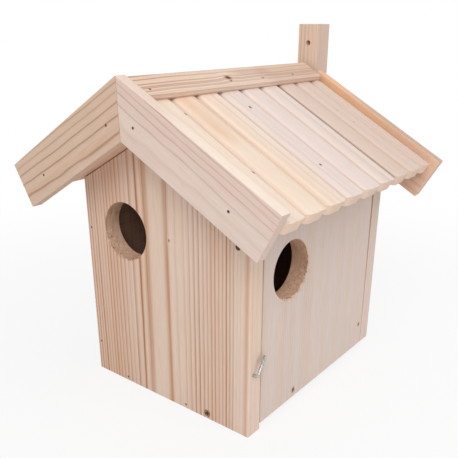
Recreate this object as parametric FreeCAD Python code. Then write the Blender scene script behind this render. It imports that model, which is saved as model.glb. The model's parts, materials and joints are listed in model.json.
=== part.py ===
import FreeCAD, Part
import math
import os

Vector = FreeCAD.Vector

# Walls, in millimetres
house_width = 170.0
house_depth = 200.0
side_wall_height = 179.0
wall_thickness = 15.0
floor_thickness = 10.0
wall_foot_rise = 5.0
front_gable_gap = 0.6
front_hole_radius = 23.5
front_hole_left = 39.4
front_hole_height = 141.5

# Door in the right side, hung on two nails near its top
door_front_gap = 0.8
door_back_gap = 0.3
door_back_taper = 2.1
door_head_gap = 3.0
door_floor_gap = 0.5
pivot_below_door_top = 22.8
pivot_from_face = 11.3
side_hole_radius = 23.5
side_hole_from_front = 52.0
side_hole_height = 123.5

# Roof, built up square to its slope: purlin, board, cap
roof_pitch = math.radians(29.0)
roof_half_span = 130.0
front_overhang = 26.0
roof_back_gap = 6.0
purlin_thickness = 18.0
ridge_purlin_width = 42.0
ridge_purlin_gap = 3.0
purlin_joint = 0.3
eave_purlin_overhang = 9.0
board_thickness = 9.0
board_overrun = 1.4
wave_width = 26.0
waves_per_board = 3
groove_depth = 3.0
crest_round = 6.0
lobe_recess = 4.0
lobe_round = 8.0
board_joint = 0.3
cap_thickness = 5.0
cap_width = 22.0
ridge_joint = 0.2
barge_rise = 1.0
barge_thickness = 9.0
barge_width = 37.0
front_barge_turn = 1.3
back_barge_drop = 2.0
back_barge_overrun = 6.4

# Batten that the house hangs from
batten_width = 21.0
batten_thickness = 19.0
batten_above_roof = 31.3
batten_joint = 0.2
hang_hole_radius = 2.25
hang_hole_below_top = 16.0

# Turning hook that holds the door shut
hook_wire_radius = 1.3
hook_from_front = 5.5
hook_height = 53.5
hook_embed = 18.0
hook_standoff = 4.0
hook_bend = 2.4
hook_reach = 17.0
hook_leaf_radius = 1.9
hook_leaf_length = 6.5
hook_leaf_thickness = 1.5
hook_door_clearance = 0.4

# Fasteners
fastener_clearance = 0.05
brad_radius = 0.6
brad_head_radius = 1.0
brad_head_height = 0.6
brad_set = 0.2
wall_brad_length = 35.0
wall_brad_inset = 4.0
low_brad_height = 28.5
high_brad_height = 136.5
floor_brad_left = 48.0
floor_brad_right = 21.0
floor_brad_height = 3.5
roof_brad_length = 20.0
roof_brad_start = -3.0
roof_brad_pitch = 67.0
roof_brad_inset = 17.5
ridge_brad_strays = (0.3, 4.5)
eave_brad_strays = (-3.0, 8.0)
under_brad_cover = 1.0
purlin_brad_length = 30.0
purlin_brad_inset = 9.0
barge_brad_length = 30.0
barge_brad_top_inset = 5.5
barge_brad_low_inset = 8.0
barge_brad_depth = 7.0
cap_brad_length = 13.0
cap_brad_from_edge = 6.0
cap_brad_inset = 8.0
cap_brad_pitch = 86.0
cap_brads_per_side = 3
pivot_radius = 1.1
pivot_head_radius = 2.2
pivot_head_height = 1.0
pivot_length = 36.0
screw_radius = 1.5
screw_head_radius = 3.25
screw_head_height = 2.6
screw_slot_width = 0.9
screw_slot_length = 3.8
screw_slot_depth = 1.6
floor_screw_right = 44.0
floor_screw_height = 5.0
floor_screw_length = 35.0
batten_screw_length = 28.0
batten_screw_start = 40.0
batten_screw_pitch = 80.0
batten_screws_used = 3

# Planes that the pieces share; the origin is under the middle of the whole outline
whole_depth = barge_thickness + front_overhang + house_depth + batten_thickness
front_y = barge_thickness + front_overhang - whole_depth / 2
back_y = front_y + house_depth
roof_front_y = front_y - front_overhang
roof_back_y = back_y - roof_back_gap
half_width = house_width / 2
inner_x = half_width - wall_thickness
board_width = wave_width * waves_per_board
boards_per_slope = math.ceil((roof_back_y - roof_front_y) / board_width)
door_front_y = front_y + wall_thickness + door_front_gap
door_back_y = back_y - wall_thickness - door_back_gap
door_top = side_wall_height - door_head_gap
pivot_x = half_width - pivot_from_face
pivot_z = door_top - pivot_below_door_top

# Depths below the barge boards' top edge, measured square to the slope
cap_top = barge_rise
crest_depth = cap_top + cap_thickness
purlin_top = crest_depth + board_thickness
wall_top = purlin_top + purlin_thickness
apex_z = side_wall_height + half_width * math.tan(roof_pitch) + wall_top / math.cos(roof_pitch)
batten_top = apex_z + batten_above_roof


# How far down the slope a given distance from the middle lies, at a given depth
def along(x, depth):
    return (x + depth * math.sin(roof_pitch)) / math.cos(roof_pitch)


# A point of the roof on the right side (+1) or the left side (-1)
def roof_point(side, down, depth, y):
    x = down * math.cos(roof_pitch) - depth * math.sin(roof_pitch)
    z = apex_z - down * math.sin(roof_pitch) - depth * math.cos(roof_pitch)
    return Vector(side * x, y, z)


def roof_inward(side):
    return Vector(-side * math.sin(roof_pitch), 0, -math.cos(roof_pitch))


barge_end = along(roof_half_span, 0)
board_top_end = along(board_joint / 2, purlin_top)
board_low_end = barge_end + board_overrun
ridge_purlin_start = along(ridge_purlin_gap, wall_top)
ridge_purlin_end = ridge_purlin_start + ridge_purlin_width
eave_purlin_start = ridge_purlin_end + purlin_joint
eave_purlin_end = along(half_width, wall_top) + eave_purlin_overhang
under_brad_length = purlin_thickness + board_thickness - groove_depth - brad_set - under_brad_cover


def prism(points, sweep):
    return Part.Face(Part.makePolygon(points + [points[0]])).extrude(sweep)


def block(low, high):
    size = high - low
    return Part.makeBox(size.x, size.y, size.z, low)


# A straight piece under or on the slope, running back from the front barge
def slope_bar(side, corners, end_y):
    points = [roof_point(side, down, depth, roof_front_y) for down, depth in corners]
    return prism(points, Vector(0, end_y - roof_front_y, 0))


# Front and back walls have the gable's outline; the front one is cut a little short of the purlins
def gable(low_y, foot, gap):
    shoulder = side_wall_height - gap / math.cos(roof_pitch)
    ridge = shoulder + half_width * math.tan(roof_pitch)
    outline = [(-half_width, foot), (half_width, foot), (half_width, shoulder)]
    outline += [(0, ridge), (-half_width, shoulder)]
    points = [Vector(x, low_y, z) for x, z in outline]
    return prism(points, Vector(0, wall_thickness, 0))


def front_wall():
    centre = Vector(-front_hole_left, front_y, front_hole_height)
    hole = Part.makeCylinder(front_hole_radius, wall_thickness, centre, Vector(0, 1, 0))
    return gable(front_y, 0, front_gable_gap).cut(hole)


def back_wall():
    return gable(back_y - wall_thickness, wall_foot_rise, 0)


# The left wall's top edge is planed to the slope, under the eave purlin
def left_wall():
    inner_top = side_wall_height + wall_thickness * math.tan(roof_pitch)
    outline = [(-half_width, wall_foot_rise), (-inner_x, wall_foot_rise)]
    outline += [(-inner_x, inner_top), (-half_width, side_wall_height)]
    points = [Vector(x, front_y + wall_thickness, z) for x, z in outline]
    return prism(points, Vector(0, house_depth - 2 * wall_thickness, 0))


# The door is sawn narrower towards its top, so that its rear gap opens upwards
def side_door():
    outline = [(door_front_y, wall_foot_rise), (door_back_y, wall_foot_rise)]
    outline += [(door_back_y - door_back_taper, door_top), (door_front_y, door_top)]
    points = [Vector(inner_x, y, z) for y, z in outline]
    centre = Vector(inner_x, front_y + side_hole_from_front, side_hole_height)
    hole = Part.makeCylinder(side_hole_radius, wall_thickness, centre, Vector(1, 0, 0))
    return prism(points, Vector(wall_thickness, 0, 0)).cut(hole)


def floor_panel():
    low = Vector(-inner_x, front_y + wall_thickness, 0)
    high = Vector(inner_x - door_floor_gap, back_y - wall_thickness, floor_thickness)
    return block(low, high)


# Purlins are wide flat strips that lie side by side on the walls and close the roof from below
def purlin(side, start, end):
    corners = [(start, purlin_top), (end, purlin_top), (end, wall_top), (start, wall_top)]
    return slope_bar(side, corners, back_y)


# One wave of a board, from groove to groove: a rounded rise to the crest, a flat, and a rounded fall
def wave_edges(place, y0, y1, crest, drop, rounding):
    radius = (rounding ** 2 + drop ** 2) / (2 * abs(drop))
    half_turn = math.asin(rounding / radius) / 2
    shoulder = rounding - radius * math.sin(half_turn)
    shoulder_drop = math.copysign(radius * (1 - math.cos(half_turn)), drop)
    crest_start = place(y0 + rounding, crest)
    crest_end = place(y1 - rounding, crest)
    rise = Part.Arc(place(y0, crest + drop), place(y0 + shoulder, crest + shoulder_drop), crest_start)
    fall = Part.Arc(crest_end, place(y1 - shoulder, crest + shoulder_drop), place(y1, crest + drop))
    return [rise.toShape(), Part.makeLine(crest_start, crest_end), fall.toShape()]


# A row of waves on one edge of a board, closed by a straight edge on its far side
def waved_face(place, low_y, crest, drop, rounding, far):
    high_y = low_y + board_width - board_joint
    wave = (high_y - low_y) / waves_per_board
    edges = []
    for count in range(waves_per_board):
        edges += wave_edges(place, low_y + count * wave, low_y + (count + 1) * wave, crest, drop, rounding)
    corners = [place(high_y, crest + drop), place(high_y, far)]
    corners += [place(low_y, far), place(low_y, crest + drop)]
    edges += [Part.makeLine(start, end) for start, end in zip(corners, corners[1:])]
    return Part.Face(Part.Wire(edges))


# One board: flat below, with broad rounded waves on top that meet in narrow grooves and end in
# rounded lobes at the eave; the last board is ripped to end just in front of the back barge
def roof_board(side, number):
    low_y = roof_front_y + number * board_width + board_joint / 2

    def section_place(y, depth):
        return roof_point(side, board_top_end, depth, y)

    def plan_place(y, down):
        return roof_point(side, down, crest_depth, y)

    section = waved_face(section_place, low_y, crest_depth, groove_depth, crest_round, purlin_top)
    run = roof_point(side, board_low_end, 0, 0) - roof_point(side, board_top_end, 0, 0)
    plan = waved_face(plan_place, low_y, board_low_end, -lobe_recess, lobe_round, board_top_end)
    board = section.extrude(run).common(plan.extrude(roof_inward(side) * board_thickness))
    if low_y + board_width > roof_back_y:
        box = board.BoundBox
        waste_low = Vector(box.XMin, roof_back_y, box.ZMin)
        board = board.cut(block(waste_low, Vector(box.XMax, roof_back_y + board_width, box.ZMax)))
    return board


# The two caps meet over the ridge on a plumb cut
def ridge_cap(side):
    top = along(ridge_joint / 2, cap_top)
    low = along(ridge_joint / 2, crest_depth)
    reach = top + cap_width
    corners = [(top, cap_top), (reach, cap_top), (reach, crest_depth), (low, crest_depth)]
    return slope_bar(side, corners, roof_back_y)


# A barge board, cut plumb at its upper end and square at its lower end
def barge_board(side, low_y, inner_end, top, low_end):
    low = top + barge_width
    corners = [(along(inner_end, top), top), (low_end, top)]
    corners += [(low_end, low), (along(inner_end, low), low)]
    points = [roof_point(side, down, depth, low_y) for down, depth in corners]
    return prism(points, Vector(0, barge_thickness, 0))


# The front pair sits a little turned about its peak, with the right end the higher one
def turned_barge(shape):
    return shape.rotate(Vector(0, 0, apex_z), Vector(0, -1, 0), front_barge_turn)


def front_barge(side):
    return turned_barge(barge_board(side, roof_front_y - barge_thickness, ridge_joint / 2, 0, barge_end))


# The back pair butts against the batten and reaches further down the slope
def back_barge(side):
    inner_end = batten_width / 2 + batten_joint
    return barge_board(side, back_y, inner_end, back_barge_drop, barge_end + back_barge_overrun)


def hanging_batten():
    low = Vector(-batten_width / 2, back_y, wall_foot_rise)
    high = Vector(batten_width / 2, back_y + batten_thickness, batten_top)
    centre = Vector(0, back_y, batten_top - hang_hole_below_top)
    hole = Part.makeCylinder(hang_hole_radius, batten_thickness, centre, Vector(0, 1, 0))
    return block(low, high).cut(hole)


# Turned up at rest, so that its leaf just clears the door's front edge
def hook_rest_angle():
    room = wall_thickness + door_front_gap - hook_from_front - hook_leaf_radius - hook_door_clearance
    return math.acos(room / (hook_reach - hook_leaf_radius))


# A bent wire: shank into the front wall's edge, a round bend, and an arm with a flattened leaf
def latch_hook():
    arm = Vector(0, math.cos(hook_rest_angle()), math.sin(hook_rest_angle()))
    out = Vector(1, 0, 0)
    seat = Vector(half_width, front_y + hook_from_front, hook_height)
    corner = seat + out * hook_standoff
    tip = seat - out * hook_embed
    bend_start = corner - out * hook_bend
    bend_end = corner + arm * hook_bend
    bend_middle = corner + (arm - out) * (hook_bend * (1 - math.sqrt(0.5)))
    arm_end = corner + arm * (hook_reach - hook_leaf_length)
    bend = Part.Arc(bend_start, bend_middle, bend_end).toShape()
    path = Part.Wire([Part.makeLine(tip, bend_start), bend, Part.makeLine(bend_end, arm_end)])
    section = Part.Wire(Part.makeCircle(hook_wire_radius, tip, out))
    wire = path.makePipeShell([section], True, False)

    across = out.cross(arm)
    leaf_end = corner + arm * (hook_reach - hook_leaf_radius)
    lift = out * (-hook_leaf_thickness / 2)
    root = arm_end - arm * hook_wire_radius
    points = [root - across * hook_leaf_radius, leaf_end - across * hook_leaf_radius]
    points += [leaf_end + across * hook_leaf_radius, root + across * hook_leaf_radius]
    plate = prism([point + lift for point in points], out * hook_leaf_thickness)
    nose = Part.makeCylinder(hook_leaf_radius, hook_leaf_thickness, leaf_end + lift, out)
    return wire.fuse([plate, nose]).removeSplitter()


def hook_hole():
    start = Vector(half_width - hook_embed - fastener_clearance, front_y + hook_from_front, hook_height)
    return Part.makeCylinder(hook_wire_radius + fastener_clearance, hook_embed + 1, start, Vector(1, 0, 0))


# A round nail driven along a direction, its head set a little below the face it enters;
# grown by the clearance and opened to the face, the same shape is the hole it sits in
def nail(point, way, length, radius, head_radius, head_height, grow):
    start = point + way * brad_set
    shank = Part.makeCylinder(radius + grow, length + grow, start, way)
    opening = brad_set + brad_head_height if grow else 0
    head_length = head_height + grow + opening
    head = Part.makeCylinder(head_radius + grow, head_length, start - way * opening, way)
    return shank.fuse(head).removeSplitter()


def brad(point, way, length, grow=0.0):
    return nail(point, way, length, brad_radius, brad_head_radius, brad_head_height, grow)


def pivot_nail(point, way, grow=0.0):
    return nail(point, way, pivot_length, pivot_radius, pivot_head_radius, pivot_head_height, grow)


# A countersunk wood screw with a cross slot, flush with the face it enters
def screw(point, way, length, grow=0.0):
    head = Part.makeCone(screw_head_radius + grow, screw_radius + grow, screw_head_height, point, way)
    shank = Part.makeCylinder(screw_radius + grow, length + grow, point, way)
    body = head.fuse(shank).removeSplitter()
    if grow:
        return body
    sideways = way.cross(Vector(0, 0, 1))
    for first, second in ((sideways, Vector(0, 0, 1)), (Vector(0, 0, 1), sideways)):
        corner = point - first * (screw_slot_length / 2) - second * (screw_slot_width / 2)
        points = [corner, corner + first * screw_slot_length]
        points += [points[1] + second * screw_slot_width, corner + second * screw_slot_width]
        body = body.cut(prism(points, way * screw_slot_depth))
    return body


def wall_brad_places():
    back = Vector(0, 1, 0)
    front = Vector(0, -1, 0)
    brad_x = wall_brad_inset - half_width
    foot_z = (wall_foot_rise + floor_thickness) / 2
    for z in (low_brad_height, high_brad_height):
        yield Vector(brad_x, front_y, z), back
        yield Vector(brad_x, back_y, z), front
    for x in (-floor_brad_left, floor_brad_right):
        yield Vector(x, front_y, floor_brad_height), back
        yield Vector(x, back_y, foot_z), front
    for share in (1 / 3, 2 / 3):
        yield Vector(-half_width, front_y + house_depth * share, foot_z), Vector(1, 0, 0)


# How far a board's surface lies below its crest, near a groove
def wave_drop(y):
    from_groove = (y - roof_front_y) % wave_width
    short_of_crest = max(crest_round - min(from_groove, wave_width - from_groove), 0)
    radius = (crest_round ** 2 + groove_depth ** 2) / (2 * groove_depth)
    return radius - math.sqrt(radius ** 2 - short_of_crest ** 2)


# Two rows driven by hand, in which each brad strays a little along the slope
def roof_brad_places(side):
    ridge_row = ridge_purlin_start + roof_brad_inset
    eave_row = eave_purlin_end - roof_brad_inset
    for down, strays in ((ridge_row, ridge_brad_strays), (eave_row, eave_brad_strays)):
        for number, stray in enumerate(strays):
            y = front_y + roof_brad_start + number * roof_brad_pitch
            yield roof_point(side, down + stray, crest_depth + wave_drop(y), y), roof_inward(side)


# The boards behind those are nailed from inside the house, through the purlins
def under_brad_places(side):
    for number in range(len(ridge_brad_strays), boards_per_slope):
        board_start = roof_front_y + number * board_width
        y = (board_start + min(board_start + board_width, roof_back_y)) / 2
        for down in (ridge_purlin_start + roof_brad_inset, eave_purlin_start + roof_brad_inset):
            yield roof_point(side, down, wall_top, y), roof_inward(side) * -1


def purlin_brad_places(side):
    for down in (ridge_purlin_start + purlin_brad_inset, eave_purlin_start + purlin_brad_inset):
        for y in (front_y + wall_thickness / 2, back_y - wall_thickness / 2):
            yield roof_point(side, down, purlin_top, y), roof_inward(side)


def barge_brad_places(side):
    depth = purlin_top + barge_brad_depth
    for down in (ridge_purlin_start + barge_brad_top_inset, eave_purlin_end - barge_brad_low_inset):
        front = Part.Vertex(roof_point(side, down, depth, roof_front_y - barge_thickness))
        yield turned_barge(front).Point, Vector(0, 1, 0)
        yield roof_point(side, down, depth, back_y + barge_thickness), Vector(0, -1, 0)


def cap_brad_places(side):
    down = along(ridge_joint / 2, cap_top) + cap_width - cap_brad_from_edge
    for number in range(cap_brads_per_side):
        y = roof_front_y + cap_brad_inset + number * cap_brad_pitch
        yield roof_point(side, down, cap_top, y), roof_inward(side)


def pivot_places():
    yield Vector(pivot_x, front_y, pivot_z), Vector(0, 1, 0)
    yield Vector(pivot_x, back_y, pivot_z), Vector(0, -1, 0)


def batten_screw_places():
    for number in range(batten_screws_used):
        z = batten_screw_start + number * batten_screw_pitch
        yield Vector(0, back_y + batten_thickness, z), Vector(0, -1, 0)


def wooden_pieces():
    sides = {"left": -1, "right": 1}
    pieces = {
        "front_wall": front_wall(),
        "back_wall": back_wall(),
        "left_wall": left_wall(),
        "side_door": side_door(),
        "floor_panel": floor_panel(),
        "hanging_batten": hanging_batten(),
    }
    for name, side in sides.items():
        pieces["ridge_purlin_" + name] = purlin(side, ridge_purlin_start, ridge_purlin_end)
        pieces["eave_purlin_" + name] = purlin(side, eave_purlin_start, eave_purlin_end)
        pieces["ridge_cap_" + name] = ridge_cap(side)
        pieces["front_barge_" + name] = front_barge(side)
        pieces["back_barge_" + name] = back_barge(side)
        for number in range(boards_per_slope):
            pieces["roof_board_" + name + "_" + str(number + 1)] = roof_board(side, number)
    return pieces


# Every fastener node is a list of (point, direction) places and the shape that goes there
def fasteners(grow):
    both = (-1, 1)
    floor_screw_point = Vector(floor_screw_right, front_y, floor_screw_height)
    roof = [place for side in both for place in roof_brad_places(side)]
    under = [place for side in both for place in under_brad_places(side)]
    purlins = [place for side in both for place in purlin_brad_places(side)]
    barges = [place for side in both for place in barge_brad_places(side)]
    caps = [place for side in both for place in cap_brad_places(side)]
    roof_brads = [brad(*place, roof_brad_length, grow) for place in roof]
    roof_brads += [brad(*place, under_brad_length, grow) for place in under]
    return {
        "wall_brads": [brad(*place, wall_brad_length, grow) for place in wall_brad_places()],
        "roof_brads": roof_brads,
        "purlin_brads": [brad(*place, purlin_brad_length, grow) for place in purlins],
        "barge_brads": [brad(*place, barge_brad_length, grow) for place in barges],
        "ridge_cap_brads": [brad(*place, cap_brad_length, grow) for place in caps],
        "door_pivot_nails": [pivot_nail(*place, grow) for place in pivot_places()],
        "floor_screw": [screw(floor_screw_point, Vector(0, 1, 0), floor_screw_length, grow)],
        "batten_screws": [screw(*place, batten_screw_length, grow) for place in batten_screw_places()],
    }


# Holes for the fasteners are bored in each piece that they pass through
def bored(piece, holes):
    near = [hole for hole in holes if hole.BoundBox.intersect(piece.BoundBox)]
    return piece.cut(near) if near else piece


def main():
    os.makedirs("parts", exist_ok=True)
    holes = [hole for group in fasteners(fastener_clearance).values() for hole in group]
    holes.append(hook_hole())
    nodes = {name: bored(piece, holes) for name, piece in wooden_pieces().items()}
    nodes.update({name: Part.makeCompound(group) for name, group in fasteners(0.0).items()})
    nodes["latch_hook"] = latch_hook()
    for name, shape in nodes.items():
        shape.exportStep("parts/" + name + ".step")
        print(name, len(shape.Solids), shape.isValid(), round(shape.Volume, 1))
    print("hook turned up by", round(math.degrees(hook_rest_angle()), 2))
    print("door pivot", round(pivot_x, 3), round(pivot_z, 3), "batten top", round(batten_top, 3))


main()
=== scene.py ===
import json
import math
import random

import bmesh
import bpy
from mathutils import Matrix, Vector

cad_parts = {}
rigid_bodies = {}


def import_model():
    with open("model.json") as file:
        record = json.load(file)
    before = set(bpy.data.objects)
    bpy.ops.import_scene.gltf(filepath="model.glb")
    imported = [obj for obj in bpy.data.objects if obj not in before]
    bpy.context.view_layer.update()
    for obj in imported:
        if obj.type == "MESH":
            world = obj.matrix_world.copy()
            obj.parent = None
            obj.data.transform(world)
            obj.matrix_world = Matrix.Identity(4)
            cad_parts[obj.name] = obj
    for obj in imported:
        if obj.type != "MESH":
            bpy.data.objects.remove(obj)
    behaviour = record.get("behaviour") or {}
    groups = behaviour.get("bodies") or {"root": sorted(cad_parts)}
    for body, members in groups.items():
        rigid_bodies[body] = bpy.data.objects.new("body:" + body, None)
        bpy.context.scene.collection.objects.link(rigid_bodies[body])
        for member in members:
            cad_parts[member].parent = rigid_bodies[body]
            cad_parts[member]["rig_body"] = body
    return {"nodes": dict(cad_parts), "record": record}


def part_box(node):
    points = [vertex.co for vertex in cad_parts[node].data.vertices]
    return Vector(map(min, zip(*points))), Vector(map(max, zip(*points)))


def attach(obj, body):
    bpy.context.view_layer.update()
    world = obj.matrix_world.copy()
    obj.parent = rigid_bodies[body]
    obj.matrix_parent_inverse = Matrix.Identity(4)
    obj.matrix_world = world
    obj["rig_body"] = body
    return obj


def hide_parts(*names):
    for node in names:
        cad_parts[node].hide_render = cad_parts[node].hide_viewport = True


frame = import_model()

nodes = frame["nodes"]
slots = {row["node"]: row["material_slot"] for row in frame["record"]["subparts"]}
openings = {row["name"]: row["box_m"] for row in frame["record"]["physics"]["openings"]}
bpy.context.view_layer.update()  # the solids alone, before they are dressed
mm = 0.001
xAxis = Vector((1, 0, 0))
yAxis = Vector((0, 1, 0))
zAxis = Vector((0, 0, 1))
print("frame:", len(nodes), "nodes")


def tint(red, green, blue):  # a colour as a picture shows it, 0 to 255, made linear
    return tuple((part / 255) ** 2.2 for part in (red, green, blue)) + (1.0,)


noiseMiddle = 0.5  # the value that a noise swings about


# Shader maths: a wire is one socket, and sums on it add Math nodes
class Wire:
    def __init__(self, finish, socket):
        self.finish = finish
        self.socket = socket

    def maths(self, operation, *values):
        return self.finish.add("ShaderNodeMath", {"operation": operation}, dict(enumerate(values)))

    def __add__(self, other):
        return self.maths("ADD", self, other)

    def __radd__(self, other):
        return self.maths("ADD", other, self)

    def __sub__(self, other):
        return self.maths("SUBTRACT", self, other)

    def __rsub__(self, other):
        return self.maths("SUBTRACT", other, self)

    def __mul__(self, other):
        return self.maths("MULTIPLY", self, other)

    def __rmul__(self, other):
        return self.maths("MULTIPLY", other, self)

    def __truediv__(self, other):
        return self.maths("DIVIDE", self, other)

    def __rtruediv__(self, other):
        return self.maths("DIVIDE", other, self)

    def __pow__(self, other):
        return self.maths("POWER", self, other)

    def __rpow__(self, other):
        return self.maths("POWER", other, self)

    def __abs__(self):
        return self.maths("ABSOLUTE", self)

    def rise(self, low, high):  # 0 up to low, 1 from high on, smooth between
        ends = {"Value": self, "From Min": low, "From Max": high}
        return self.finish.add("ShaderNodeMapRange", {"interpolation_type": "SMOOTHSTEP"}, ends)


class Finish:
    def __init__(self, name):
        self.material = bpy.data.materials.new(name)
        self.material.use_nodes = True
        self.tree = self.material.node_tree
        self.shader = self.tree.nodes["Principled BSDF"]

    def add(self, kind, settings=None, sockets=None, out=0):
        node = self.tree.nodes.new(kind)
        for name, value in (settings or {}).items():
            if name == "stops":
                self.fillRamp(node.color_ramp.elements, value)
            else:
                setattr(node, name, value)
        for name, value in (sockets or {}).items():
            self.feed(node.inputs[name], value)
        return Wire(self, node.outputs[out])

    def feed(self, socket, value):
        if isinstance(value, Wire):
            self.tree.links.new(value.socket, socket)
        else:
            socket.default_value = value

    def fillRamp(self, elements, stops):
        while len(elements) < len(stops):
            elements.new(1.0)
        for element, (position, grey) in zip(elements, stops):
            element.position = position
            element.color = (grey, grey, grey, 1.0)

    def place(self, centre=(0.0, 0.0, 0.0), turn=(0.0, 0.0, 0.0)):  # Object coordinates in millimetres
        coordinates = self.add("ShaderNodeTexCoord", out="Object")
        sockets = {"Vector": coordinates, "Location": centre, "Rotation": turn, "Scale": (mm, mm, mm)}
        return self.add("ShaderNodeMapping", {"vector_type": "TEXTURE"}, sockets)

    def noise(self, place, sizes, seed, detail=2.0):  # blotches of these sizes, in millimetres
        scaled = self.add("ShaderNodeVectorMath", {"operation": "DIVIDE"}, {0: place, 1: sizes})
        sockets = {"Vector": scaled, "W": seed, "Scale": 1.0, "Detail": detail}
        return self.add("ShaderNodeTexNoise", {"noise_dimensions": "4D"}, sockets)

    def sway(self, place, sizes, seed, reach):  # noise that swings to both sides of zero
        return (self.noise(place, sizes, seed) - noiseMiddle) * (2 * reach)

    def dot(self, vector, way):
        return self.add("ShaderNodeVectorMath", {"operation": "DOT_PRODUCT"}, {0: vector, 1: way}, out="Value")

    def blend(self, share, first, second, mode="MIX"):
        settings = {"data_type": "RGBA", "blend_type": mode}
        return self.add("ShaderNodeMix", settings, {0: share, 6: first, 7: second}, out=2)


# Pine: growth rings about the tree's heart, cut by the board's faces.
# Sizes are in millimetres, across the board, through its thickness and along its grain.
# A share's two numbers are its least value and what it gains. An edge's or a range's are its ends.
pine = {
    "pale": tint(230, 211, 200),
    "warm": tint(226, 200, 180),
    "late": tint(160, 112, 82),
    "resin": tint(206, 140, 88),
    "endGrain": tint(220, 192, 174),
    "boreDark": tint(172, 134, 110),
    "boreLight": tint(240, 204, 176),
    # painted shade: the inside faces take a dark sawn tint, and a warmer one where they show through the gaps
    # at the board edges
    "sawn": tint(128, 92, 70),
    "sawnEdge": tint(212, 168, 128),
    "knotCore": tint(64, 40, 28),
    "knotRim": tint(158, 104, 66),
    # painted shade, darkening the roof boards along each groove
    "grooveDirt": tint(184, 148, 124),
    "fibreDark": tint(246, 242, 238),
    "fibreLight": tint(255, 255, 255),
    "heart": (0.0, 55.0),
    "faceDepth": 0.0,  # from the board's middle to the face that shows
    "ring": 3.0,
    "ringGroup": 4.0,  # neighbouring rings that are wide or narrow together
    "phase": 0.15,
    "uneven": 1.0,
    "rayStops": [(0.0, 0.3), (0.2, 0.05), (0.5, 0.1), (0.76, 0.6), (0.9, 1.0), (1.0, 0.3)],
    "wander": 1.4,
    "wanderSizes": (70.0, 70.0, 260.0),
    "wobble": 0.25,
    "wobbleSizes": (12.0, 12.0, 60.0),
    "lines": 0.8,
    "lineShare": (0.5, 0.5),
    "patchShare": (0.6, 0.6),
    "patchRange": (0.3, 0.7),
    "warmth": 0.5,
    "warmSpread": 1.6,
    "toneSizes": (34.0, 34.0, 240.0),
    "fibreSizes": (0.5, 0.5, 16.0),
    "fibreRange": (0.3, 0.7),
    "fineDetail": 3.0,
    "roughness": 0.56,
    "fibreDull": 0.16,
    "endDull": 0.2,
    "lateShine": 0.08,
    "specular": 0.3,
    "bump": 0.12 * mm,
    "bumpStrength": 0.5,
    "fibreHeight": 0.5,
    "endHeight": 1.6,
    "boreHeight": 2.0,
    "lateHeight": 0.35,
    "endRange": (0.55, 0.95),
    "endShare": (0.55, 0.3),
    # From this depth through the board the inside face is rough sawn and darkened as painted shade; beyond the
    # reach across, it takes the painted gap shade
    "sawnFrom": 1000.0,
    "sawnFade": 0.3,
    "sawnReach": 1000.0,
    "reachFade": 0.5,
    "sawnShare": (0.6, 0.5),
    "sawMarkSizes": (60.0, 60.0, 0.9),
    "knots": [],  # across, along, radius, strength
    "knotStretch": 1.35,
    "coreEdge": (0.55, 1.0),
    "rimEdge": (0.9, 1.9),
    "pushEdge": (0.5, 5.0),
    "pushShare": 0.5,
    "rimShare": 0.6,
    "coreRange": (0.0, 0.8),
    "coreShare": (0.75, 0.4),
    "bores": [],  # across, along, radius
    "boreEdge": (0.1, 0.7),
    "boreSizes": (2.2, 2.2, 18.0),
    "tornRange": (0.1, 0.9),
    "tornShare": 0.75,
    "fuzzEdge": (-16.0, 4.0),  # where the painted light on the bore's lower, upward-facing wall fades out, along the grain from the bore's centre
    "fuzzShare": 0.4,
    "plain": [],  # stretches across the board that show few lines: from, to
    "plainFade": 2.0,
    "plainShare": 0.8,
    "streaks": [],  # streaks of their own tint, resin among them: across, half width, from and to along the grain, strength
    "streakFade": 12.0,
    "edge": None,  # painted light and shade: a tint for a board's upward-facing edge, paler or darker for the light that falls there, where it has its own
    "edgeRange": (0.7, 0.95),
    "edgeShare": (0.3, 0.6),
    "edgeStretch": (-60.0, 0.0),
    "grooves": None,  # a groove's place across the board, and the width of one wave
    "grooveReach": 2.2,
    "grooveShare": 0.5,
}
seedSteps = {"wobble": 3.1, "tone": 7.7, "fibre": 1.3, "saw": 5.9, "bore": 2.6}  # no two noises are alike


def graded(share, wire):
    least, gain = share
    return least + gain * wire


def distance(sideways, lengthways):
    return (sideways * sideways + lengthways * lengthways) ** 0.5


def stretchMark(wire, low, high, fade):  # 1 between low and high, fading at both ends
    return wire.rise(low - fade, low + fade) * (1 - wire.rise(high - fade, high + fade))


def knotMarks(across, along, look):  # the knots' cores and rims, and how far they push the grain
    core, rim, push = 0.0, 0.0, 0.0
    for knotAcross, knotAlong, radius, strength in look["knots"]:
        sideways = (across - knotAcross) / radius
        lengthways = (along - knotAlong) / (radius * look["knotStretch"])
        away = distance(sideways, lengthways)
        core = core + (1 - away.rise(*look["coreEdge"])) * strength
        rim = rim + (1 - away.rise(*look["rimEdge"])) * strength
        push = push + (1 - away.rise(*look["pushEdge"])) * (radius * strength * look["pushShare"])
    return core, rim, push


def boreMarks(across, along, look):  # the wall of each bored entrance
    wall = 0.0
    for boreAcross, boreAlong, radius in look["bores"]:
        away = distance(across - boreAcross, along - boreAlong) - radius
        wall = wall + (1 - abs(away).rise(*look["boreEdge"]))
    return wall


def plainMarks(across, look):
    plain = 0.0
    for low, high in look["plain"]:
        plain = plain + stretchMark(across, low, high, look["plainFade"])
    return plain


def streakMarks(across, along, look, wander):  # streaks, which follow the grain's wander
    share = 0.0
    for middle, halfWidth, low, high, strength in look["streaks"]:
        away = abs(across + wander - middle) / halfWidth
        share = share + (1 - away.rise(0.0, 1.0)) * stretchMark(along, low, high, look["streakFade"]) * strength
    return share


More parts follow.
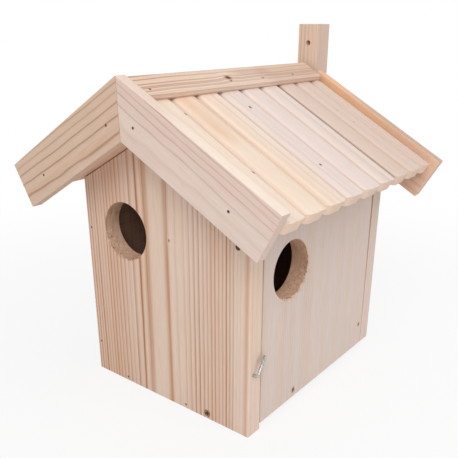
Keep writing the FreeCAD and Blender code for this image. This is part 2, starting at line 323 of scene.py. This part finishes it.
def growthRings(finish, radius, look, seed):  # the share of late wood, and each ring's own strength
    years = radius / (look["ringGroup"] * look["ring"]) + seed
    spread = finish.add("ShaderNodeTexNoise", {"noise_dimensions": "1D"}, {"W": years})
    startPhase = look["phase"] - abs(look["heart"][1] + look["faceDepth"]) / look["ring"]
    rings = radius / look["ring"] + (spread - noiseMiddle) * look["uneven"] + startPhase
    late = finish.add("ShaderNodeValToRGB", {"stops": look["rayStops"]}, {0: rings.maths("FRACT", rings)})
    ringNumber = rings.maths("FLOOR", rings)
    strong = finish.add("ShaderNodeTexWhiteNoise", {"noise_dimensions": "1D"}, {"W": ringNumber + seed})
    return late, strong


def pineFinish(name, centre, turn, look, seed):
    finish = Finish(name)
    place = finish.place(centre, turn)
    across, through, along = (finish.add("ShaderNodeSeparateXYZ", {}, {0: place}, out) for out in range(3))
    fine = look["fineDetail"]

    core, rim, push = knotMarks(across, along, look)
    wander = finish.sway(place, look["wanderSizes"], seed, look["wander"])
    wobble = finish.sway(place, look["wobbleSizes"], seed + seedSteps["wobble"], look["wobble"])
    heartAcross, heartThrough = look["heart"]
    radius = distance(across - heartAcross, through - heartThrough) + wander + wobble + push
    late, strong = growthRings(finish, radius, look, seed)
    patches = finish.noise(place, look["toneSizes"], seed + seedSteps["tone"])
    fibre = finish.noise(place, look["fibreSizes"], seed + seedSteps["fibre"], fine)
    lineShare = late * graded(look["lineShare"], strong) * look["lines"]
    lineShare = lineShare * graded(look["patchShare"], patches.rise(*look["patchRange"]))
    lineShare = lineShare * (1 - look["plainShare"] * plainMarks(across, look))

    normal = finish.add("ShaderNodeTexCoord", out="Normal")
    axis = Matrix.Identity(3)
    axis.rotate(turn)
    endFace = abs(finish.dot(normal, axis @ zAxis)).rise(*look["endRange"])
    bored = boreMarks(across, along, look)
    # Inside faces: rough saw marks, and a dark tint that is painted shade
    sawn = through.rise(look["sawnFrom"], look["sawnFrom"] + look["sawnFade"])
    sawMarks = finish.noise(place, look["sawMarkSizes"], seed + seedSteps["saw"], fine)

    warmShare = patches * look["warmSpread"] - look["warmSpread"] / 2 + look["warmth"]
    colour = finish.blend(warmShare.rise(0.0, 1.0), look["pale"], look["warm"])
    colour = finish.blend(lineShare, colour, look["late"])
    if look["streaks"]:
        colour = finish.blend(streakMarks(across, along, look, wander), colour, look["resin"])
    # Painted light and shade on the upward-facing faces, growing down the slope: paler on the front barges,
    # darker on the back barges
    if look["edge"]:
        upper = finish.dot(normal, axis @ -xAxis).rise(*look["edgeRange"])
        paintedUpperShare = upper * graded(look["edgeShare"], along.rise(*look["edgeStretch"]))
        colour = finish.blend(paintedUpperShare, colour, look["edge"])
    # Painted shade: each groove of the roof boards is darkened, where shade falls between the waves
    if look["grooves"]:
        groove, wave = look["grooves"]
        fromGroove = across.maths("PINGPONG", across - groove, wave / 2)
        shadeInGroove = (1 - fromGroove.rise(0.0, look["grooveReach"])) * look["grooveShare"]
        colour = finish.blend(shadeInGroove, colour, look["grooveDirt"])
    colour = finish.blend(endFace * graded(look["endShare"], fibre), colour, look["endGrain"])
    streak = finish.blend(fibre.rise(*look["fibreRange"]), look["fibreDark"], look["fibreLight"])
    colour = finish.blend(1.0, colour, streak, "MULTIPLY")
    # painted gap shade near a board's edges, painted shade on the rest of its inside face
    inGap = abs(across).rise(look["sawnReach"], look["sawnReach"] + look["reachFade"])
    insideShade = finish.blend(inGap, look["sawn"], look["sawnEdge"])
    colour = finish.blend(sawn * graded(look["sawnShare"], sawMarks), colour, insideShade)
    # The bore's wall: torn, mottled wood, and painted light that makes its lower, upward-facing part paler
    if look["bores"]:
        middle = look["bores"][0][1]
        lightLow, lightHigh = look["fuzzEdge"]
        lowerBoreLight = 1 - along.rise(middle + lightLow, middle + lightHigh)
        rough = finish.noise(place, look["boreSizes"], seed + seedSteps["bore"], fine)
        pale = look["tornShare"] * rough.rise(*look["tornRange"]) + look["fuzzShare"] * lowerBoreLight
        tornAndLitBore = finish.blend(pale, look["boreDark"], look["boreLight"])
        colour = finish.blend(bored, colour, tornAndLitBore)
    if look["knots"]:
        colour = finish.blend((rim - core).rise(0.0, 1.0) * look["rimShare"], colour, look["knotRim"])
        coreShare = core.rise(*look["coreRange"]) * graded(look["coreShare"], fibre)
        colour = finish.blend(coreShare, colour, look["knotCore"])
    finish.feed(finish.shader.inputs["Base Color"], colour)

    dull = look["roughness"] + look["fibreDull"] * fibre + look["endDull"] * endFace - look["lateShine"] * late
    finish.feed(finish.shader.inputs["Roughness"], dull)
    finish.shader.inputs["Specular IOR Level"].default_value = look["specular"]
    relief = look["fibreHeight"] + look["endHeight"] * endFace + look["boreHeight"] * bored
    height = fibre * relief + late * look["lateHeight"] + sawMarks * sawn
    sockets = {"Strength": look["bumpStrength"], "Distance": look["bump"], "Height": height}
    finish.feed(finish.shader.inputs["Normal"], finish.add("ShaderNodeBump", {}, sockets))
    return finish.material


def meshFrom(bm, name):
    mesh = bpy.data.meshes.new(name)
    bm.to_mesh(mesh)
    bm.free()
    return mesh


def addObject(name, data):
    added = bpy.data.objects.new(name, data)
    bpy.context.scene.collection.objects.link(added)
    return added


# Every board is a copy of its solid with the sharp edges eased, as a planed board's are
easing = {
    "weld": 0.002 * mm, "flat": 0.2, "sharp": 30.0, "shortest": 1.2 * mm,
    "width": 0.5 * mm, "steps": 2, "profile": 0.5,
    "bend": (0.5, 18.0),  # faces that meet between these angles are one round surface
}


def easedMesh(nodeName):
    bm = bmesh.new()
    bm.from_mesh(nodes[nodeName].data)
    bmesh.ops.remove_doubles(bm, verts=bm.verts, dist=easing["weld"])
    bmesh.ops.dissolve_limit(bm, angle_limit=math.radians(easing["flat"]), verts=bm.verts, edges=bm.edges)
    sharp = math.radians(easing["sharp"])
    edges = [e for e in bm.edges if len(e.link_faces) == 2 and e.calc_length() > easing["shortest"]]
    edges = [e for e in edges if e.calc_face_angle() > sharp]
    bmesh.ops.bevel(bm, geom=edges, offset=easing["width"], offset_type="OFFSET", segments=easing["steps"],
                    profile=easing["profile"], affect="EDGES", material=-1, clamp_overlap=True)
    bmesh.ops.triangulate(bm, faces=[face for face in bm.faces if len(face.verts) > 4])
    shadeRound(bm)
    return meshFrom(bm, nodeName + "_eased")


def shadeRound(bm):  # flat faces stay flat, and only bends are shaded as round
    least, most = (math.radians(angle) for angle in easing["bend"])
    for edge in bm.edges:
        edge.smooth = edge.calc_face_angle(0.0) < most
    for face in bm.faces:
        face.smooth = any(least < edge.calc_face_angle(0.0) < most for edge in face.edges)


def pieceName(nodeName):  # front_wall becomes frontWall
    first, *others = nodeName.split("_")
    return first + "".join(word.capitalize() for word in others)


def dressBoard(nodeName, across, through, look, seed):
    mesh = easedMesh(nodeName)
    piece = addObject(pieceName(nodeName), mesh)
    low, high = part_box(nodeName)
    turn = Matrix((across, through, across.cross(through))).transposed().to_euler()
    mesh.materials.append(pineFinish(piece.name + "Pine", (low + high) / 2, turn, {**pine, **look}, seed))
    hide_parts(nodeName)
    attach(piece, nodes[nodeName]["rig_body"])


entranceRadius = 23.5


def entrance(openingName, nodeName, across):  # a bore's centre on its board, and its radius
    low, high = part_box(nodeName)
    first, last = openings[openingName]
    middle = (Vector(first) + Vector(last) - low - high) / 2 / mm
    return middle.dot(across), middle.z, entranceRadius


# Walls and batten, with upright grain, and the floor panel, with grain from front to back
frontWall = {
    "heart": (-5.0, 50.0), "faceDepth": 7.5, "ring": 2.6, "phase": 0.515, "lines": 1.15,
    # beyond 70 mm across, the inside face takes the painted gap shade, where it shows through the seam by the
    # door
    "wander": 0.6, "uneven": 0.5, "sawnFrom": 7.0, "sawnReach": 70.0,
    "pale": tint(237, 217, 205), "warm": tint(234, 208, 188), "late": tint(178, 124, 86),
    "knots": [(8.5, 31.4, 1.0, 0.5)],
    "bores": [entrance("front_entrance", "front_wall", xAxis)],
    "plain": [(-13.0, 3.0), (8.0, 24.0), (70.0, 100.0)],
    "streaks": [
        (5.8, 1.5, -130.0, 30.0, 0.75), (82.0, 2.6, -130.0, 90.0, 0.5), (-17.5, 1.3, -40.0, 95.0, 0.4),
        (-55.0, 46.0, -140.0, 140.0, 0.24), (52.0, 20.0, -140.0, 140.0, 0.16),
    ],
}
dressBoard("front_wall", xAxis, yAxis, frontWall, seed=1.0)

sideDoor = {
    "heart": (20.0, 60.0), "faceDepth": 7.5, "ring": 1.9, "lines": 0.2, "warmth": 0.3, "sawnFrom": 7.0,
    "pale": tint(226, 210, 202), "warm": tint(226, 204, 188),
    "boreDark": tint(198, 152, 124), "boreLight": tint(255, 216, 184),
    "toneSizes": (9.0, 9.0, 240.0),
    "knots": [(-37.3, -78.9, 1.7, 1.0), (78.0, -63.5, 1.4, 0.8)],
    "bores": [entrance("side_entrance", "side_door", yAxis)],
    "plain": [(-20.0, 100.0)],
}
dressBoard("side_door", yAxis, -xAxis, sideDoor, seed=2.0)

leftWall = {"heart": (-20.0, 60.0), "faceDepth": 7.5, "ring": 2.9, "lines": 0.7, "sawnFrom": 7.0}
dressBoard("left_wall", yAxis, xAxis, leftWall, seed=3.0)

backWall = {
    # beyond 70 mm across, the inside face takes the painted gap shade, where it shows through the gap behind
    # the door
    "heart": (24.0, 55.0), "faceDepth": 7.5, "ring": 3.1, "lines": 0.75, "sawnFrom": 7.0, "sawnReach": 70.0,
    "pale": tint(230, 213, 205), "warm": tint(227, 206, 193), "plain": [(76.0, 100.0)],
}
dressBoard("back_wall", xAxis, -yAxis, backWall, seed=4.0)

floorPanel = {"heart": (10.0, 70.0), "faceDepth": 5.0, "ring": 3.4, "lines": 0.7, "sawnFrom": 4.5}
dressBoard("floor_panel", xAxis, zAxis, floorPanel, seed=5.0)

battenLow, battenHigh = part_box("hanging_batten")
battenHalf = (battenHigh.x - battenLow.x) / 2 / mm
hangingBatten = {
    "heart": (-26.0, -18.0), "faceDepth": 7.5, "ring": 3.6, "lines": 0.7, "warmth": 0.8,
    "pale": tint(242, 220, 203), "warm": tint(240, 210, 187), "resin": tint(198, 174, 165),
    "plain": [(battenHalf - 2.0, 60.0)],
    "streaks": [(battenHalf, 1.2, -300.0, 300.0, 0.6)],
}
dressBoard("hanging_batten", xAxis, yAxis, hangingBatten, seed=6.0)
print("walls and batten dressed")

# Roof, whose boards follow the slope
roofPitch = math.radians(29.0)
sides = {"right": 1, "left": -1}


def slopeWays(side):  # down the slope, and square into it
    down = Vector((side * math.cos(roofPitch), 0, -math.sin(roofPitch)))
    inward = Vector((-side * math.sin(roofPitch), 0, -math.cos(roofPitch)))
    return down, inward


roofBoards = {
    "tones": [
        {"pale": tint(246, 232, 220), "warm": tint(245, 222, 201), "warmth": 0.5, "heart": (8.0, 60.0),
         "dents": [(16.0, -39.8, 1.0, 0.8), (16.0, 24.7, 1.0, 0.8)]},
        {"pale": tint(236, 221, 215), "warm": tint(236, 218, 206), "warmth": 0.35, "heart": (-6.0, 70.0),
         "dents": [(27.0, -35.6, 1.0, 0.8), (27.0, 35.7, 0.8, 0.6)]},
        {"pale": tint(227, 207, 197), "warm": tint(225, 201, 184), "warmth": 0.45, "heart": (14.0, 55.0),
         "dents": []},
    ],  # dents, round the brads: across, along, radius, strength
    "faceDepth": 4.5, "ring": 3.6, "lines": 0.2, "sawnFrom": 4.2, "waves": 3, "endGrain": tint(236, 206, 184),
}
boardMarks = {  # what single boards have besides
    "roof_board_right_1": {
        "streaks": [(4.0, 12.0, -200.0, -5.0, 0.44), (-9.0, 5.0, -200.0, 0.0, 0.36)],
        "resin": tint(228, 178, 134),
    },
    "roof_board_right_3": {
        "dents": [(-1.9, -14.5, 1.0, 0.3), (-3.8, 3.6, 1.0, 0.3)],
        "streaks": [(32.0, 2.8, -200.0, 200.0, 1.0)], "resin": tint(104, 78, 62), "wander": 0.2,
    },
}
# the purlins take the sawn tint all over, as their own colour
purlins = {"ring": 2.6, "heart": (4.0, 30.0), "warmth": 0.7, "sawnFrom": -100.0, "sawn": tint(223, 185, 157)}
ridgeCaps = {
    "heart": (-25.0, 30.0), "faceDepth": 2.5, "ring": 2.5, "lines": 1.05, "warmth": 0.7,
    "wanderSizes": (40.0, 40.0, 90.0), "pale": tint(238, 218, 205), "warm": tint(236, 208, 186),
    # the first streak darkens one end of each cap, the back end of the right one
    "resin": tint(184, 144, 116), "streaks": [(0.0, 18.0, 30.0, 200.0, 0.4), (-5.0, 8.0, -2.0, 40.0, 0.4)],
}
capKnots = {"right": [(-0.2, -15.3, 2.2, 1.0), (4.4, 25.1, 1.2, 0.5)], "left": [(-3.0, 40.0, 1.8, 0.9)]}
thinLines = [(0.0, 0.1), (0.5, 0.0), (0.8, 0.15), (0.92, 1.0), (1.0, 0.1)]
frontBarges = {
    "both": {
        "lines": 0.85, "wobbleSizes": (12.0, 12.0, 40.0), "uneven": 0.3, "rayStops": thinLines,
        # painted light: the upward-facing edges of the front barges are paler
        "edge": tint(251, 235, 219),
    },
    "right": {
        "heart": (18.0, 60.0), "faceDepth": 4.5, "ring": 1.78, "phase": 0.84, "warmth": 0.3,
        "wander": 0.7, "wobble": 0.45, "plain": [(4.0, 60.0)], "streaks": [(-9.0, 14.0, -200.0, 200.0, 0.1)],
        "endGrain": tint(222, 197, 186), "pale": tint(236, 215, 205), "warm": tint(233, 209, 191),
    },
    "left": {
        "heart": (28.4, -50.0), "faceDepth": -4.5, "ring": 3.0, "phase": 0.41, "warmth": 0.7,
        "wander": 1.0, "wobble": 0.5, "streaks": [(14.0, 5.0, -200.0, 200.0, 0.14)],
        "pale": tint(226, 203, 189), "warm": tint(223, 194, 171),
    },
}
backBarges = {
    "heart": (-10.0, 40.0), "faceDepth": 4.5, "ring": 3.2, "lines": 0.4, "warmth": 0.9,
    # the upper-edge tint is painted shade: the back barges' upward-facing edges are darker
    "pale": tint(240, 211, 190), "warm": tint(240, 202, 176), "edge": tint(205, 172, 152),
    "resin": tint(252, 203, 156), "streaks": [(0.0, 60.0, -200.0, end, 0.28) for end in (-35.0, 0.0, 35.0)],
}
roofSeeds = {
    "board": 10.0, "nextBoard": 7.3, "ridgePurlin": 21.0, "eavePurlin": 24.0, "cap": 27.0,
    "frontBarge": 31.0, "backBarge": 35.0,
}
wholeLow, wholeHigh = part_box("roof_board_right_1")
waveWidth = (wholeHigh.y - wholeLow.y) / roofBoards["waves"] / mm
for sideName, side in sides.items():
    down, inward = slopeWays(side)
    for number, tone in enumerate(roofBoards["tones"]):
        nodeName = "roof_board_" + sideName + "_" + str(number + 1)
        low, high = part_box(nodeName)
        look = {**roofBoards, **tone, **boardMarks.get(nodeName, {})}
        look["grooves"] = (side * (high.y - low.y) / 2 / mm, waveWidth)
        look["knots"] = [(side * across, *dent) for across, *dent in look["dents"]]
        boardSeed = roofSeeds["board"] + roofSeeds["nextBoard"] * number + side
        dressBoard(nodeName, -side * yAxis, inward, look, boardSeed)
    dressBoard("ridge_purlin_" + sideName, down, inward, purlins, roofSeeds["ridgePurlin"] + side)
    dressBoard("eave_purlin_" + sideName, down, inward, purlins, roofSeeds["eavePurlin"] + side)
    cap = {**ridgeCaps, "knots": capKnots[sideName]}
    dressBoard("ridge_cap_" + sideName, down, inward, cap, roofSeeds["cap"] + side)
    barge = {**frontBarges["both"], **frontBarges[sideName]}
    dressBoard("front_barge_" + sideName, inward, side * yAxis, barge, roofSeeds["frontBarge"] + side)
    dressBoard("back_barge_" + sideName, inward, side * yAxis, backBarges, roofSeeds["backBarge"] + side)
print("roof dressed")


# Torn fibres that the hole cutter left round the entrances
fibres = {
    "count": 240, "length": (1.4, 4.2), "radius": 0.26, "tip": 0.3, "sides": 4, "deepest": 9.0, "buried": 0.3,
    "lean": {"facing": (0.1, 0.8), "inward": (-0.1, 0.4), "along": (0.2, 1.0), "drop": (-0.1, 0.6)},
    "dark": tint(172, 122, 92), "light": tint(255, 234, 210), "blotch": 1.5, "blotchRange": (0.35, 0.65),
    "blotchSeed": 3.0, "roughness": (0.6, 0.3),
}
entrances = {
    "frontHoleFibres": {
        "node": "front_wall", "bore": frontWall["bores"][0], "across": xAxis, "facing": -yAxis,
        "arc": (190.0, 310.0), "seed": 5,
    },
    "sideHoleFibres": {
        "node": "side_door", "bore": sideDoor["bores"][0], "across": yAxis, "facing": xAxis,
        "arc": (230.0, 370.0), "seed": 6,
    },
}


def tornFibres(name, hole):
    dice = random.Random(hole["seed"])
    low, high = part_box(hole["node"])
    boreAcross, boreAlong, radius = hole["bore"]
    face = (low + high) / 2 / mm + hole["facing"] * abs((high - low).dot(hole["facing"])) / 2 / mm
    centre = face + hole["across"] * boreAcross + zAxis * boreAlong
    lean = fibres["lean"]
    bm = bmesh.new()
    for _ in range(fibres["count"]):
        angle = math.radians(dice.uniform(*hole["arc"]))
        outward = hole["across"] * math.cos(angle) + zAxis * math.sin(angle)
        along = hole["facing"].cross(outward)
        depth = fibres["deepest"] * dice.random() ** 2
        root = centre + outward * radius - hole["facing"] * depth
        way = hole["facing"] * dice.uniform(*lean["facing"]) - outward * dice.uniform(*lean["inward"])
        way = way + along * dice.uniform(*lean["along"]) - zAxis * dice.uniform(*lean["drop"])
        way = way.normalized()
        length = dice.uniform(*fibres["length"])
        middle = (root + way * (length / 2 - fibres["buried"])) * mm
        place = Matrix.Translation(middle) @ way.to_track_quat("Z", "Y").to_matrix().to_4x4()
        thick = fibres["radius"] * mm
        bmesh.ops.create_cone(bm, cap_ends=True, cap_tris=True, segments=fibres["sides"], radius1=thick,
                              radius2=thick * fibres["tip"], depth=length * mm, matrix=place)
    mesh = meshFrom(bm, name)
    mesh.materials.append(fibreFinish())
    piece = addObject(name, mesh)
    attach(piece, nodes[hole["node"]]["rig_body"])


def fibreFinish():
    finish = Finish("tornFibre")
    size = fibres["blotch"]
    blotch = finish.noise(finish.place(), (size, size, size), fibres["blotchSeed"])
    colour = finish.blend(blotch.rise(*fibres["blotchRange"]), fibres["dark"], fibres["light"])
    finish.feed(finish.shader.inputs["Base Color"], colour)
    finish.feed(finish.shader.inputs["Roughness"], graded(fibres["roughness"], blotch))
    return finish.material


for name, hole in entrances.items():
    tornFibres(name, hole)
print("torn fibres added")


# Steel: dull nails, plated screws and the hook, by slot, or by node where one has its own
steels = {
    "nail_steel": {"dark": tint(64, 48, 40), "light": tint(112, 92, 78), "roughness": 0.5, "grainSize": 0.6},
    "roof_brads": {"dark": tint(46, 36, 30), "light": tint(92, 74, 62), "roughness": 0.55, "grainSize": 0.6},
    "screw_zinc": {
        "dark": tint(84, 62, 46), "light": tint(178, 146, 116), "roughness": 0.42, "grainSize": 0.9,
    },
    "hook_wire": {
        "dark": tint(150, 146, 140), "light": tint(214, 212, 208), "roughness": 0.3, "grainSize": 1.2,
    },
}
steelGrain = {
    "blotchSeed": 2.0, "blotchDetail": 3.0, "blotchRange": (0.3, 0.7),
    "scratchSeed": 5.0, "scratchWidth": 0.12, "scratchLength": 2.5, "scratchDull": 0.25,
    "metallic": 0.9, "bumpStrength": 0.3, "bump": 0.03 * mm,
}


def steelFinish(slotName, look):
    finish = Finish(pieceName(slotName))
    place = finish.place()
    size = look["grainSize"]
    blotch = finish.noise(place, (size, size, size), steelGrain["blotchSeed"], steelGrain["blotchDetail"])
    width = size * steelGrain["scratchWidth"]
    scratchSizes = (width, size * steelGrain["scratchLength"], width)
    scratch = finish.noise(place, scratchSizes, steelGrain["scratchSeed"])
    colour = finish.blend(blotch.rise(*steelGrain["blotchRange"]), look["dark"], look["light"])
    finish.feed(finish.shader.inputs["Base Color"], colour)
    dull = look["roughness"] + steelGrain["scratchDull"] * (scratch - noiseMiddle)
    finish.feed(finish.shader.inputs["Roughness"], dull)
    finish.shader.inputs["Metallic"].default_value = steelGrain["metallic"]
    sockets = {"Strength": steelGrain["bumpStrength"], "Distance": steelGrain["bump"], "Height": scratch}
    finish.feed(finish.shader.inputs["Normal"], finish.add("ShaderNodeBump", {}, sockets))
    return finish.material


steelMaterials = {slotName: steelFinish(slotName, look) for slotName, look in steels.items()}
for nodeName, slotName in slots.items():
    material = steelMaterials.get(nodeName, steelMaterials.get(slotName))
    if material:
        nodes[nodeName].data.materials.clear()
        nodes[nodeName].data.materials.append(material)
print("steel dressed")

# Plain pale floor, soft light and the camera
studio = {
    "floorSize": 8.0, "floorColour": (0.9, 0.9, 0.9, 1.0), "floorRoughness": 0.9,
    "floorWhite": 0.82, "fadeFrom": 0.2, "fadeTo": 0.7,
    "white": (1.0, 1.0, 1.0, 1.0), "ambient": 0.43,
    "softboxes": [
        {"name": "keySoftbox", "place": (0.9, -1.5, 1.5), "size": 1.2, "watts": 20.0},
        {"name": "sideSoftbox", "place": (1.9, 0.3, 1.0), "size": 1.2, "watts": 7.0},
        {"name": "topSoftbox", "place": (0.2, 0.1, 1.9), "size": 1.4, "watts": 5.4},
    ],
    "target": (0.0, 0.0, 0.13),
}


def paleFloor():
    bm = bmesh.new()
    bmesh.ops.create_grid(bm, x_segments=1, y_segments=1, size=studio["floorSize"] / 2)
    mesh = meshFrom(bm, "paleFloor")
    floor = addObject("paleFloor", mesh)
    finish = Finish("floorPaint")
    finish.shader.inputs["Base Color"].default_value = studio["floorColour"]
    finish.shader.inputs["Roughness"].default_value = studio["floorRoughness"]
    finish.shader.inputs["Specular IOR Level"].default_value = 0.0
    place = finish.add("ShaderNodeTexCoord", out="Object")
    away = finish.add("ShaderNodeVectorMath", {"operation": "LENGTH"}, {0: place}, out="Value")
    fade = away.rise(studio["fadeFrom"], studio["fadeTo"])
    white = studio["floorWhite"] + (1 - studio["floorWhite"]) * fade
    seen = seenDirectly(finish) * white
    glow = finish.add("ShaderNodeEmission", {}, {"Color": studio["white"], "Strength": 1.0})
    paint = Wire(finish, finish.shader.outputs[0])
    mixed = finish.add("ShaderNodeMixShader", {}, {0: seen, 1: paint, 2: glow})
    finish.feed(finish.tree.nodes["Material Output"].inputs["Surface"], mixed)
    mesh.materials.append(finish.material)


def seenDirectly(finish):  # 1 where the camera, a reflection or glass looks at it
    names = ("Is Camera Ray", "Is Glossy Ray", "Is Transmission Ray")
    direct, glossy, passing = (finish.add("ShaderNodeLightPath", out=name) for name in names)
    return direct.maths("MAXIMUM", direct.maths("MAXIMUM", direct, glossy), passing)


class Sky(Finish):
    def __init__(self):
        world = bpy.data.worlds.new("paleSky")
        world.use_nodes = True
        bpy.context.scene.world = world
        self.tree = world.node_tree
        self.shader = self.tree.nodes["Background"]


def paleSky():
    sky = Sky()
    sky.shader.inputs["Color"].default_value = studio["white"]
    strength = studio["ambient"] + (1 - studio["ambient"]) * seenDirectly(sky)
    sky.feed(sky.shader.inputs["Strength"], strength)


def softbox(look):
    lamp = bpy.data.lights.new(look["name"], "AREA")
    lamp.shape = "DISK"
    lamp.size = look["size"]
    lamp.energy = look["watts"]
    holder = addObject(look["name"], lamp)
    holder.location = look["place"]
    holder.rotation_euler = (Vector(studio["target"]) - holder.location).to_track_quat("-Z", "Y").to_euler()


camera = {
    "place": (0.30874, -0.40041, 0.2930), "turn": (67.587, -0.138, 38.259),
    "sensor": 36.0, "lens": 47.37, "shiftUp": 0.1, "nearest": 0.01,
}


def aimCamera():
    lens = bpy.data.cameras.new("camera")
    lens.sensor_width = camera["sensor"]
    lens.lens = camera["lens"]
    lens.shift_y = camera["shiftUp"]
    lens.clip_start = camera["nearest"]
    holder = addObject("camera", lens)
    holder.location = camera["place"]
    holder.rotation_euler = [math.radians(angle) for angle in camera["turn"]]
    bpy.context.scene.camera = holder


paleFloor()
paleSky()
for box in studio["softboxes"]:
    softbox(box)
aimCamera()
bpy.context.scene.view_settings.view_transform = "Standard"
print("studio ready")
